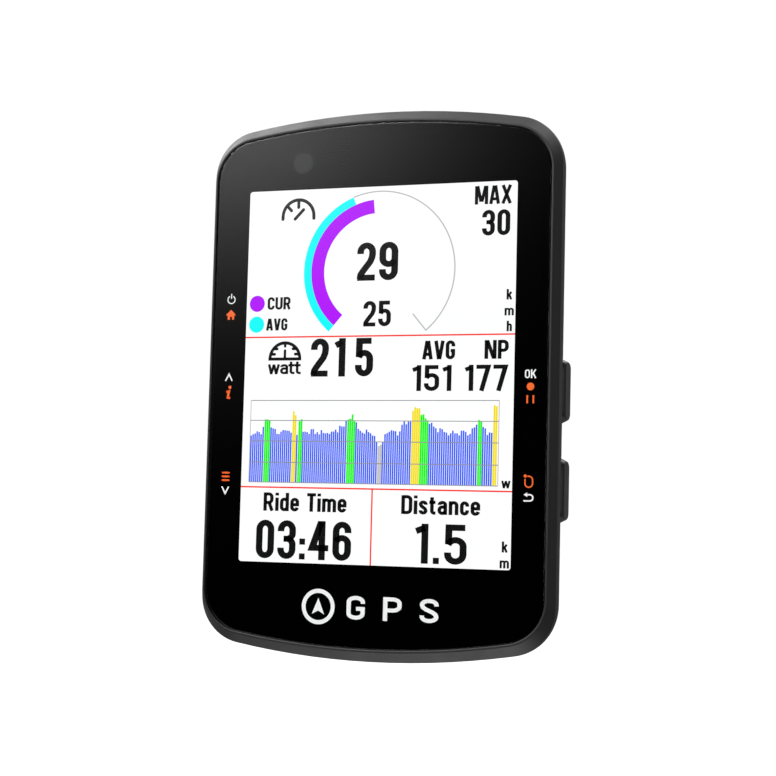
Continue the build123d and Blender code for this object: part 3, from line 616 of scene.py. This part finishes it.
def draw_speed_icon(mesh, levels):
    """A small speedometer: an arch with ticks and a needle."""
    centre = at(8.41, 4.15)
    arch = [at(5.84, 4.53)] + arc(centre, 2.57 * MM, 2.57 * MM, 180, 0, 28) + [at(10.98, 4.53)]
    ribbon(mesh, arch, 0.52 * MM, *levels)
    for end in (at(5.84, 4.53), at(10.98, 4.53)):
        disc(mesh, end, 0.26 * MM, *levels)
    top_tick = ((8.41, 1.7), (8.41, 2.76))
    side_tick = ((6.6, 2.55), (7.23, 3.24))
    needle = ((7.88, 4.56), (9.24, 3.15))
    for first, second in (top_tick, side_tick, needle):
        ribbon(mesh, [at(*first), at(*second)], 0.5 * MM, *levels)
        disc(mesh, at(*first), 0.25 * MM, *levels)
        disc(mesh, at(*second), 0.25 * MM, *levels)


def draw_power_icon(mesh, levels):
    """A half-round power meter: outline, base bar, ticks and needle."""
    middle, base = 6.86, 26.5
    centre = at(middle, base - 0.25)
    ribbon(mesh, arc(centre, 2.48 * MM, 2.48 * MM, 180, 0, 32), 0.5 * MM, *levels)
    ribbon(mesh, [at(4.14, base - 0.23), at(9.58, base - 0.23)], 0.48 * MM, *levels)
    for side in (-1, 1):
        for inner, outer, up in ((1.3, 1.95, 1.55), (1.7, 2.35, 0.72)):
            ends = [at(middle + side * reach, base - 0.25 - up) for reach in (inner, outer)]
            ribbon(mesh, ends, 0.44 * MM, *levels)
            disc(mesh, ends[0], 0.22 * MM, *levels)
    for low, high in ((1.94, 2.3), (0.0, 1.27)):
        ribbon(mesh, [at(middle, base - 0.25 - low), at(middle, base - 0.25 - high)], 0.42 * MM, *levels)
    disc(mesh, at(middle, base - 2.19), 0.21 * MM, *levels)
    disc(mesh, at(middle, base - 1.52), 0.21 * MM, *levels)


# Tops of the power bars: where the envelope bends, and the coloured runs with their own tops.
ENVELOPE = (
    (1.5, 37.9), (2.3, 37.4), (3.3, 37.7), (3.7, 36.8), (4.8, 36.6), (5.4, 37.4), (8.0, 37.7), (12.0, 37.4),
    (15.2, 37.8), (17.1, 36.1), (18.7, 36.2), (20.0, 37.3), (21.3, 37.6), (22.2, 38.9), (23.0, 38.8),
    (24.0, 37.4), (25.4, 37.7), (26.4, 35.9), (27.6, 35.9), (30.2, 35.95), (31.6, 37.0), (33.0, 37.5),
    (35.8, 37.5), (36.5, 38.0), (37.6, 36.2), (38.6, 36.1), (39.3, 37.4), (41.0, 37.6),
)
RUNS = (
    ("green", 3.75, 4.7, (35.55, 35.55, 35.7)), ("yellow", 8.35, 9.0, (34.3, 34.9)),
    ("green", 9.6, 10.15, (35.8, 35.5)), ("green", 17.3, 18.75, (35.5, 35.4, 34.75, 35.7)),
    ("grey", 22.2, 23.1, (38.95, 39.5, 39.3)), ("yellow", 27.7, 28.8, (34.2, 33.65, 33.8)),
    ("green", 28.85, 30.1, (34.8, 34.7, 35.3, 35.6)), ("green", 37.7, 38.35, (35.5, 35.7)),
    ("yellow", 40.3, 40.95, (33.35, 33.5)),
)
GRAPH_LEFT = 1.50
GRAPH_RIGHT = 41.01
GRAPH_BASE = 45.17
BAR_PITCH = 0.33


def envelope(across):
    """The height of the blue bars' tops at a place along the graph."""
    for (x0, y0), (x1, y1) in zip(ENVELOPE, ENVELOPE[1:]):
        if across <= x1:
            return y0 + (y1 - y0) * (across - x0) / (x1 - x0)
    return ENVELOPE[-1][1]


def sort_bars():
    """Each bar of the graph as (left, top), under its colour."""
    chance = random.Random(11)
    bars = {"blue": [], "green": [], "yellow": [], "grey": []}
    for i in range(int((GRAPH_RIGHT - GRAPH_LEFT) / BAR_PITCH)):
        left = GRAPH_LEFT + 0.05 + i * BAR_PITCH
        middle = left + BAR_PITCH / 2
        top = envelope(middle) + chance.choice((-0.4, -0.1, 0.0, 0.3))
        colour = "blue"
        for name, start, end, tops in RUNS:
            if start <= middle <= end:
                colour = name
                top = tops[min(len(tops) - 1, int(len(tops) * (middle - start) / (end - start)))]
        bars[colour].append((left, top))
    return bars


def bar_drawer(bars, width):
    """Draws the bars of one colour, as (left, top), down to the graph's base."""
    def draw(mesh, levels):
        for left, top in bars:
            plate(mesh, box_outline(left, left + width, top, GRAPH_BASE), *levels)
    return draw


BAR_WIDTH = {"blue": 0.245, "green": 0.3, "yellow": 0.3, "grey": 0.3}


def bar_colours():
    return {
        "blue": screen_colour("page_blue", rgb(50, 95, 255), 1.02),
        "green": screen_colour("page_green", rgb(0, 255, 10), 1.02),
        "yellow": screen_colour("page_yellow", rgb(255, 232, 0), 1.02),
        "grey": screen_colour("page_silver", rgb(200, 200, 200)),
    }


def build_gauge(ink, grey):
    """The page's top field: speed gauge, its two dots and both icons."""
    soft_ink = screen_colour("page_charcoal", rgb(28, 28, 30))
    purple = screen_colour("page_purple", rgb(181, 0, 255), 1.05)
    cyan = screen_colour("page_cyan", rgb(0, 255, 255), 1.05)
    screen_piece("ui_gauge_average", cyan, 1, band(GAUGE, 10.93, 12.15, 110.7, GAUGE_START))
    screen_piece("ui_gauge_current", purple, 1, band(GAUGE, 8.81, 10.92, 95.2, GAUGE_START))
    screen_piece("ui_gauge_ring", grey, 1, draw_gauge_ring)
    screen_piece("ui_dot_current", purple, 1, lambda mesh, levels: disc(
        mesh, at(1.98, 17.64), 1.27 * MM, *levels))
    screen_piece("ui_dot_average", cyan, 1, lambda mesh, levels: disc(
        mesh, at(1.98, 20.89), 1.27 * MM, *levels))
    screen_piece("ui_speed_icon", soft_ink, 1, draw_speed_icon)
    screen_piece("ui_power_icon", ink, 1, draw_power_icon)


def build_readouts(ink):
    """The page's numbers and their labels."""
    screen_piece("ui_speed_text", ink, 2, texts(
        ("29", 18.28, 24.83, 8.55, 14.46), ("25", 19.5, 23.9, 17.53, 21.45),
        ("30", 37.85, 42.13, 4.27, 8.17)))
    screen_piece(
        "ui_speed_labels", ink, 2,
        texts(("MAX", 36.65, 42.34, 0.64, 3.44), weight=0.17, gap=0.07),
        texts(("CUR", 3.75, 7.6, 16.67, 18.59), ("AVG", 3.6, 7.15, 19.98, 21.84), weight=0.2, gap=0.07))
    screen_piece("ui_power_text", ink, 2, texts(
        ("2", 11.19, 14.05, 23.12, 29.02), ("1", 14.95, 16.75, 23.12, 29.02),
        ("5", 18.4, 21.23, 23.12, 29.02), ("151", 27.49, 33.63, 27.34, 31.24),
        ("177", 35.64, 42.19, 27.34, 31.24)))
    screen_piece(
        "ui_power_labels", ink, 2,
        texts(("AVG", 29.0, 34.13, 23.71, 26.51), ("NP", 38.62, 42.27, 23.71, 26.51), weight=0.19, gap=0.07),
        texts(("watt", 4.13, 9.56, 26.5, 28.6), weight=0.19, gap=0.03))
    screen_piece(
        "ui_ride_text", ink, 2,
        texts(("Ride Time", 4.1, 17.68, 46.74, 49.54), weight=0.19, gap=0.08),
        texts(("03:46", 3.07, 18.57, 50.87, 56.78)))
    screen_piece(
        "ui_distance_text", ink, 2,
        texts(("Distance", 26.3, 38.5, 46.74, 49.54), weight=0.19, gap=0.08),
        texts(("1.5", 28.55, 36.52, 50.87, 56.78)))
    screen_piece("ui_unit_text", ink, 2, texts(
        ("k", 41.8, 42.65, 16.2, 17.76), ("m", 41.54, 42.93, 18.6, 20.12), ("h", 41.9, 42.68, 20.9, 22.46),
        ("w", 41.55, 42.92, 43.97, 45.47), ("k", 41.82, 42.7, 53.17, 54.77), ("m", 41.54, 42.93, 55.5, 57.07),
        weight=0.2))


def build_graph(grey):
    """The power graph: bars, level rules and side rules."""
    rule = screen_colour("page_rule", rgb(150, 150, 158))
    tints = bar_colours()
    for colour, bars in sort_bars().items():
        screen_piece("ui_bars_" + colour, tints[colour], 1, bar_drawer(bars, BAR_WIDTH[colour]))
    screen_piece("ui_graph_rules", rule, 2, lines(0.13, *[
        ((GRAPH_LEFT, down), (GRAPH_RIGHT, down)) for down in (32.65, 35.72, 38.88, 42.13, GRAPH_BASE)]))
    screen_piece("ui_graph_sides", grey, 2, lines(
        0.13, ((GRAPH_LEFT, 32.6), (GRAPH_LEFT, 45.2)), ((GRAPH_RIGHT, 32.6), (GRAPH_RIGHT, 45.2))))


def build_display():
    """The lit picture: page, gauge, read-outs, graph and rules."""
    page = screen_colour("page_white", rgb(255, 255, 255), 1.1)
    ink = screen_colour("page_black", rgb(2, 2, 2))
    grey = screen_colour("page_grey", rgb(196, 196, 196))
    red = screen_colour("page_red", rgb(255, 52, 44), 1.05)
    screen_piece("ui_page", page, 0, lambda mesh, levels: plate(
        mesh, box_outline(-0.15, 43.35, -0.15, 57.75), *levels))
    build_gauge(ink, grey)
    build_readouts(ink)
    build_graph(grey)
    screen_piece("ui_red_rules", red, 3, lines(
        0.23, ((0, 22.88), (43.2, 22.88)), ((0, 45.94), (43.2, 45.94)), ((21.64, 45.94), (21.64, 57.6))))


# ---------------------------------------------------------------- print on the back of the glass

# In object millimetres: the columns of marks, and the sensor window's centre and radius.
LEFT_MARKS = -24.2
RIGHT_MARKS = 24.1
SENSOR_WINDOW = (-12.76, 34.28, 1.62)


def spot(x, z):
    """A point from object millimetres."""
    return (x * MM, z * MM)


def strokes(width, *paths, caps=True):
    """Draws round-ended strokes in object millimetres."""
    def draw(mesh, levels):
        for path in paths:
            points = [spot(*point) for point in path]
            ribbon(mesh, points, width * MM, *levels)
            for end in (points[0], points[-1]) if caps else ():
                disc(mesh, end, width * MM / 2, *levels, steps=20)
    return draw


def print_piece(name, material, *drawers):
    """A mark printed on the back of the glass, in front of the black mask."""
    mesh = bmesh.new()
    levels = (PRINT_BACK + 0.006 * MM, GLASS_BACK - 0.006 * MM)
    for draw in drawers:
        draw(mesh, levels)
    return finish_piece(name, mesh, material)


def draw_house(mesh, levels):
    """The home mark: roof, walls and door opening."""
    x, z = LEFT_MARKS, 10.75
    roof = [(-0.8, 0.02), (-0.72, -0.1), (0.72, -0.1), (0.8, 0.02), (0.06, 0.76), (-0.06, 0.76)]
    plate(mesh, [spot(x + px, z + pz) for px, pz in roof], *levels)
    for side in (-1, 1):
        wall = [(0.17, -0.76), (0.56, -0.76), (0.56, -0.08), (0.17, -0.08)]
        plate(mesh, [spot(x + side * px, z + pz) for px, pz in wall], *levels)
    lintel = [(-0.18, -0.3), (0.18, -0.3), (0.18, -0.08), (-0.18, -0.08)]
    plate(mesh, [spot(x + px, z + pz) for px, pz in lintel], *levels)


def draw_arrow_head(mesh, levels):
    """The head of the return arrow."""
    x, z = RIGHT_MARKS, -16.8
    head = [(-0.76, 0.36), (-0.2, 0.02), (-0.2, 0.7)]
    plate(mesh, [spot(x + px, z + pz) for px, pz in head], *levels)


def dots(*rows):
    """Draws discs of (x, z, radius), in object millimetres."""
    def draw(mesh, levels):
        for x, z, radius in rows:
            disc(mesh, spot(x, z), radius * MM, *levels)
    return draw


def draw_compass(mesh, levels):
    """A plain locator mark: a ring with a pointer inside."""
    x, z = -8.2, -33.9
    ring = arc(spot(x, z), 2.35 * MM, 2.35 * MM, 0, 360 - 360 / 64, 63)
    ribbon(mesh, ring, 0.62 * MM, *levels, closed=True)
    for side in (-1, 1):
        wing = [(0, 1.3), (side * 1.0, -1.15), (0, -0.6)]
        plate(mesh, [spot(x + px, z + pz) for px, pz in wing], *levels)


def build_left_marks(white, orange):
    """Power and home, up and information, menu and down."""
    x = LEFT_MARKS
    ring = [(x + px, 13.14 + pz) for px, pz in arc((0, 0), 0.61, 0.61, 125, 415, 28)]
    print_piece("mark_power", white, strokes(0.16, ring, [(x, 13.35), (x, 13.98)]))
    print_piece("mark_home", orange, draw_house)
    print_piece("mark_up", white, strokes(
        0.23, [(x - 0.57, 0.38), (x, 1.43), (x + 0.57, 0.38)], caps=False))
    print_piece("mark_info", orange, dots((x + 0.22, -0.63, 0.26)), strokes(
        0.36, [(x - 0.2, -1.33), (x + 0.08, -1.25), (x - 0.08, -2.2), (x + 0.14, -2.28)]))
    print_piece("mark_menu", orange, strokes(
        0.27, *[[(x - 0.53, z), (x + 0.53, z)] for z in (-13.92, -14.5, -15.08)]))
    print_piece("mark_down", white, strokes(
        0.23, [(x - 0.57, -16.08), (x, -17.13), (x + 0.57, -16.08)], caps=False))


def build_right_marks(white, orange):
    """OK, record and pause, lap and back."""
    x = RIGHT_MARKS
    print_piece("mark_ok", white, lambda mesh, levels: write(
        mesh, "OK", spot(x - 0.87, 0.6), 1.72 * MM, 1.3 * MM, levels, 0.15))
    print_piece("mark_record", orange, dots((x, -0.62, 0.57)))
    print_piece("mark_pause", orange, strokes(
        0.26, [(x - 0.46, -1.9), (x - 0.46, -3.1)], [(x + 0.46, -1.9), (x + 0.46, -3.1)], caps=False))
    loop = [(x - 0.25, -13.75), (x + 0.05, -13.75)]
    loop += [(x + px, -14.3 + pz) for px, pz in arc((0.02, 0), 0.55, 0.55, 85, 0, 8)]
    loop += [(x + px, -14.8 + pz) for px, pz in arc((0, 0), 0.57, 0.55, 0, -180, 16)]
    loop += [(x - 0.57, -14.15)]
    print_piece("mark_lap", orange, strokes(0.2, loop, caps=False), dots((x - 0.55, -13.72, 0.24)))
    back = [(x - 0.74, -17.34), (x + 0.2, -17.34)]
    back += [(x + 0.2 + px, -16.89 + pz) for px, pz in arc((0, 0), 0.45, 0.45, -80, 90, 14)]
    back += [(x - 0.25, -16.44)]
    print_piece("mark_back", white, strokes(0.22, back, caps=False), draw_arrow_head)


def build_prints():
    """Key legends, the tinted sensor window and the generic mark on the glass."""
    # The third number of each ink is its painted glow: the legends and the tinted sensor window emit light as
    # though lit, though none is a lamp.
    white = ink_with_painted_glow("print_white_painted_glow", rgb(236, 236, 236), 0.35)
    orange = ink_with_painted_glow("print_orange_painted_glow", rgb(238, 98, 10), 0.38)
    smoke = ink_with_painted_glow("print_smoke_painted_glow", rgb(30, 30, 32), 0.2, 0.1)
    build_left_marks(white, orange)
    build_right_marks(white, orange)
    print_piece("mark_sensor", smoke, dots(SENSOR_WINDOW))
    print_piece("mark_locator", white, draw_compass)
    print_piece("mark_word", white, lambda mesh, levels: write(
        mesh, "GPS", spot(-3.6, -35.6), 14.4 * MM, 3.5 * MM, levels, 0.18, 0.5))


# ---------------------------------------------------------------- studio

FLOOR_Z = -150 * MM
WORLD_LIGHT = 0.25


def build_world():
    """White behind the object, and soft dim light from the sides and from behind it."""
    world = bpy.data.worlds.new("studio")
    bpy.context.scene.world = world
    world.use_nodes = True
    tree = world.node_tree
    tree.nodes.clear()
    place = tree.nodes.new("ShaderNodeTexCoord").outputs["Generated"]
    split = tree.nodes.new("ShaderNodeSeparateXYZ")
    tree.links.new(place, split.inputs[0])
    fade = tree.nodes.new("ShaderNodeMapRange")
    fade.interpolation_type = "SMOOTHSTEP"
    for socket, value in (("From Min", -0.75), ("From Max", -0.1), ("To Min", 0.0), ("To Max", WORLD_LIGHT)):
        fade.inputs[socket].default_value = value
    tree.links.new(split.outputs["Y"], fade.inputs["Value"])
    dim = tree.nodes.new("ShaderNodeBackground")
    tree.links.new(fade.outputs[0], dim.inputs["Strength"])
    white = tree.nodes.new("ShaderNodeBackground")
    white.inputs["Color"].default_value = (1, 1, 1, 1)
    white.inputs["Strength"].default_value = 1.02
    path = tree.nodes.new("ShaderNodeLightPath").outputs["Is Camera Ray"]
    mixed = tree.nodes.new("ShaderNodeMixShader")
    tree.links.new(path, mixed.inputs[0])
    tree.links.new(dim.outputs[0], mixed.inputs[1])
    tree.links.new(white.outputs[0], mixed.inputs[2])
    output = tree.nodes.new("ShaderNodeOutputWorld")
    tree.links.new(mixed.outputs[0], output.inputs["Surface"])


def build_floor():
    """A plain pale floor, well below the object."""
    made = Finish("floor", 0.8)
    made.colour(made.spread(made.noise(6, 3), 0, 1), (0.86, 0.86, 0.86, 1), (0.9, 0.9, 0.9, 1))
    made.shader.inputs["Emission Color"].default_value = (1, 1, 1, 1)
    made.shader.inputs["Emission Strength"].default_value = 0.93
    mesh = bmesh.new()
    bmesh.ops.create_grid(mesh, x_segments=8, y_segments=8, size=6.0)
    bmesh.ops.translate(mesh, verts=mesh.verts, vec=(0, 0, FLOOR_Z))
    data = bpy.data.meshes.new("floor")
    mesh.to_mesh(data)
    mesh.free()
    data.materials.append(made.material)
    floor = bpy.data.objects.new("floor", data)
    bpy.context.scene.collection.objects.link(floor)
    floor.visible_diffuse = False
    floor.visible_glossy = False
    floor.visible_shadow = False


CARD_Y = -420 * MM
CARD_CORNER = (-215 * MM, 146 * MM)
CARD_WIDTH = 230 * MM
CARD_HEIGHT = 300 * MM
CARD_PEAK = 2.1
CARD_FADE_ACROSS = 86 * MM
CARD_FADE_DOWN = 49 * MM


def build_card():
    """A soft light card in front, bright at one corner, that only shows in glossy surfaces."""
    made = Finish("card")
    made.tree.nodes.remove(made.shader)
    across = made.math("DIVIDE", made.math("SUBTRACT", made.axis("X"), CARD_CORNER[0]), CARD_FADE_ACROSS)
    down = made.math("DIVIDE", made.math("SUBTRACT", CARD_CORNER[1], made.axis("Z")), CARD_FADE_DOWN)
    across = made.math("POWER", made.math("MAXIMUM", across, 0.0), 2.0)
    down = made.math("POWER", made.math("MAXIMUM", down, 0.0), 1.4)
    fade = made.math("EXPONENT", made.math("MULTIPLY", made.math("ADD", across, down), -1.0))
    glow = made.node("ShaderNodeEmission", {"Strength": made.math("MULTIPLY", fade, CARD_PEAK)})
    made.tree.links.new(glow.outputs[0], made.output.inputs["Surface"])
    mesh = bmesh.new()
    left = CARD_CORNER[0] - 40 * MM
    top = CARD_CORNER[1] + 40 * MM
    corners = ((left, top), (left + CARD_WIDTH, top), (left + CARD_WIDTH, top - CARD_HEIGHT),
               (left, top - CARD_HEIGHT))
    mesh.faces.new([mesh.verts.new((x, CARD_Y, z)) for x, z in corners])
    data = bpy.data.meshes.new("card")
    mesh.to_mesh(data)
    mesh.free()
    data.materials.append(made.material)
    card = bpy.data.objects.new("card", data)
    bpy.context.scene.collection.objects.link(card)
    card.visible_camera = False
    card.visible_diffuse = False
    card.visible_shadow = False


def add_softbox(name, place, size, power):
    """A square area light that looks at the object."""
    data = bpy.data.lights.new(name, "AREA")
    data.size = size
    data.energy = power
    made = bpy.data.objects.new(name, data)
    made.location = place
    made.rotation_mode = "QUATERNION"
    made.rotation_quaternion = Vector(place).to_track_quat("Z", "Y")
    bpy.context.scene.collection.objects.link(made)


def build_studio():
    """World, floor, softboxes and the front card."""
    bpy.context.scene.view_settings.view_transform = "Standard"
    build_world()
    build_floor()
    build_card()
    add_softbox("top_box", (-0.5, 0.1, 0.5), 0.7, 5.2)
    add_softbox("front_box", (-0.5, -0.65, 0.6), 0.7, 12.0)
    add_softbox("back_box", (0.25, 0.5, 0.7), 0.5, 4.0)
    add_softbox("right_box", (0.45, -0.62, 0.05), 0.35, 0.6)
    add_softbox("low_box", (0.0, -0.05, -0.6), 0.6, 1.6)


make_camera()
FINISHES = build_materials()
dress_nodes(FINISHES)
build_display()
build_prints()
build_studio()
